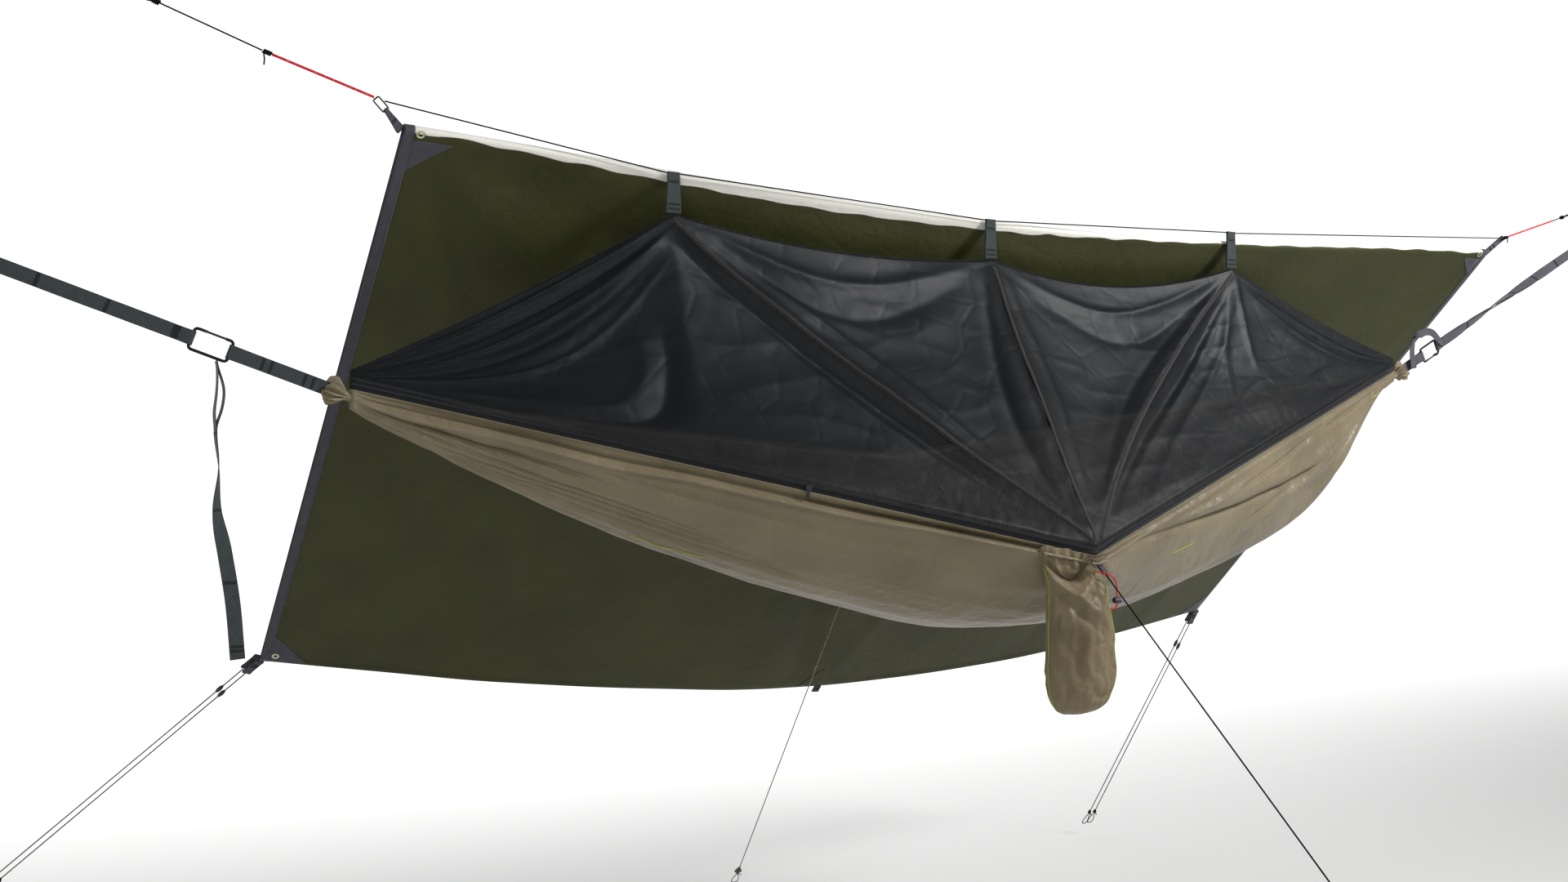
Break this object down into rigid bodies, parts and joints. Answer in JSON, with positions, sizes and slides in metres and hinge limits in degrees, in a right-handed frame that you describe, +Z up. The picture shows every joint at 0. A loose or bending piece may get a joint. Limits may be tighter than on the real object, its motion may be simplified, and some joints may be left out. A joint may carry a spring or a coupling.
{
  "type": "camping hammock",
  "caption": "Gathered-end camping hammock with zipped bug net, ridge cord, tree straps, guyed pull-outs, stuff sack and a folded-back tarp on guy lines.",
  "frame": {"origin": "middle of the sewn eye of the left tree strap, where it hangs from what holds it", "axes": "+X from the left anchor to the right one, +Y to the side of the tarp, +Z up"},
  "size_m": [4.2635, 2.9608, 2.1246],
  "materials": {
    "khaki_nylon": "woven nylon, slight sheen",
    "black_net": "fine knitted net",
    "olive_tarp": "coated woven polyester",
    "grey_binding": "woven tape",
    "slate_webbing": "woven polyester webbing",
    "grey_webbing": "woven polyester webbing",
    "black_metal": "satin black coating",
    "black_plastic": "moulded",
    "grey_plastic": "moulded",
    "brass_grommet": "bright",
    "steel": "bright",
    "black_cord": "braided",
    "olive_cord": "braided",
    "red_cord": "braided"
  },
  "bodies": {
    "root": {"left_gathered_end": "khaki_nylon", "right_gathered_end": "khaki_nylon", "tarp": "olive_tarp", "left_tarp_binding": "grey_binding", "right_tarp_binding": "grey_binding", "left_ridge_loop": "grey_binding", "right_ridge_loop": "grey_binding", "left_corner_loop_inner": "grey_binding", "left_corner_loop_outer": "grey_binding", "right_corner_loop_inner": "grey_binding", "right_corner_loop_outer": "grey_binding", "mid_loop": "grey_binding", "left_end_sling": "slate_webbing", "left_tree_strap": "slate_webbing", "net_tab_1": "slate_webbing", "net_tab_2": "slate_webbing", "net_tab_3": "slate_webbing", "right_end_sling": "grey_webbing", "right_tree_strap": "grey_webbing", "right_strap_tail": "grey_webbing", "left_carabiner": "black_metal", "right_carabiner": "black_metal", "left_ridge_link": "black_metal", "left_gate_pin": "steel", "right_gate_pin": "steel", "left_ridge_grommet": "brass_grommet", "right_ridge_grommet": "brass_grommet", "left_corner_grommet": "brass_grommet", "left_ridge_knot": "black_cord", "left_outer_cord": "black_cord", "ridge_cord": "black_cord", "right_ridge_knot": "black_cord", "right_outer_cord": "black_cord", "left_guy_inner": "black_cord", "left_guy_outer": "black_cord", "right_guy_inner": "black_cord", "right_guy_outer": "black_cord", "near_pull_out_guy": "black_cord", "far_pull_out_guy": "olive_cord", "left_shock_cord": "red_cord", "right_shock_cord": "red_cord"},
    "bed_body": {"bed": "khaki_nylon", "net": "black_net", "zip_tape": "black_net", "near_pull_out_loop": "grey_binding"},
    "left_gate_body": {"left_gate": "black_metal"},
    "right_gate_body": {"right_gate": "black_metal"},
    "left_tail_body": {"left_strap_tail": "slate_webbing"},
    "slider_body": {"zip_slider": "black_metal"},
    "sack_body": {"stuff_sack": "khaki_nylon", "drawcord": "red_cord", "cord_lock_body": "black_plastic", "cord_lock_spring": "steel", "drawcord_tail": "red_cord"},
    "button_body": {"cord_lock_button": "grey_plastic"},
    "left_inner_adjuster_body": {"left_adjuster_inner": "black_plastic"},
    "left_outer_adjuster_body": {"left_adjuster_outer": "black_plastic"},
    "right_inner_adjuster_body": {"right_adjuster_inner": "black_plastic"},
    "right_outer_adjuster_body": {"right_adjuster_outer": "black_plastic"},
    "far_adjuster_body": {"far_adjuster": "black_plastic"}
  },
  "joints": [
    {"name": "bed_swing", "type": "hinge", "parent": "root", "child": "bed_body", "pos_m": [0.62, 0, -0.22], "axis": [0.9988, 0, 0.0489], "range_deg": [-4, 4], "stiffness_Nm_per_rad": 60, "deforming": ["net", "near_pull_out_guy", "far_pull_out_guy"]},
    {"name": "left_gate_hinge", "type": "hinge", "parent": "root", "child": "left_gate_body", "pos_m": [0.39615, 0, -0.12062], "axis": [0, 1, 0], "range_deg": [0, 28], "stiffness_Nm_per_rad": 0.02, "springref_deg": -17.19},
    {"name": "right_gate_hinge", "type": "hinge", "parent": "root", "child": "right_gate_body", "pos_m": [3.52742, 0, -0.02942], "axis": [0, 1, 0], "range_deg": [0, 28], "stiffness_Nm_per_rad": 0.02, "springref_deg": -17.19},
    {"name": "left_tail_swing", "type": "hinge", "parent": "root", "child": "left_tail_body", "pos_m": [0.413, 0, -0.17007], "axis": [0, 1, 0], "range_deg": [-10, 10]},
    {"name": "zip_slide", "type": "slide", "parent": "bed_body", "child": "slider_body", "axis": [-0.9374, 0.2748, 0.214], "range_m": [-0.46, 0.7]},
    {"name": "sack_swing", "type": "hinge", "parent": "bed_body", "child": "sack_body", "pos_m": [1.943, -0.39057, -0.50994], "axis": [-0.9374, 0.2748, 0.214], "range_deg": [0, 24], "deforming": ["drawcord", "drawcord_tail"]},
    {"name": "lock_button_press", "type": "slide", "parent": "sack_body", "child": "button_body", "axis": [-1, 0, 0], "range_m": [0, 0.003], "stiffness_N_per_m": 300, "springref_m": -0.003, "deforming": ["cord_lock_spring"]},
    {"name": "left_inner_adjuster_slide", "type": "slide", "parent": "root", "child": "left_inner_adjuster_body", "axis": [-0.4658, 0.6912, -0.5525], "range_m": [-0.06, 0.3]},
    {"name": "left_outer_adjuster_slide", "type": "slide", "parent": "root", "child": "left_outer_adjuster_body", "axis": [-0.4813, 0.6766, -0.5573], "range_m": [-0.06, 0.3]},
    {"name": "right_inner_adjuster_slide", "type": "slide", "parent": "root", "child": "right_inner_adjuster_body", "axis": [0.0219, 0.5762, -0.817], "range_m": [-0.06, 0.3]},
    {"name": "right_outer_adjuster_slide", "type": "slide", "parent": "root", "child": "right_outer_adjuster_body", "axis": [-0.0031, 0.5641, -0.8257], "range_m": [-0.06, 0.3]},
    {"name": "far_adjuster_slide", "type": "slide", "parent": "root", "child": "far_adjuster_body", "axis": [0.1127, 0.6912, -0.7138], "range_m": [-0.5, 0]}
  ]
}
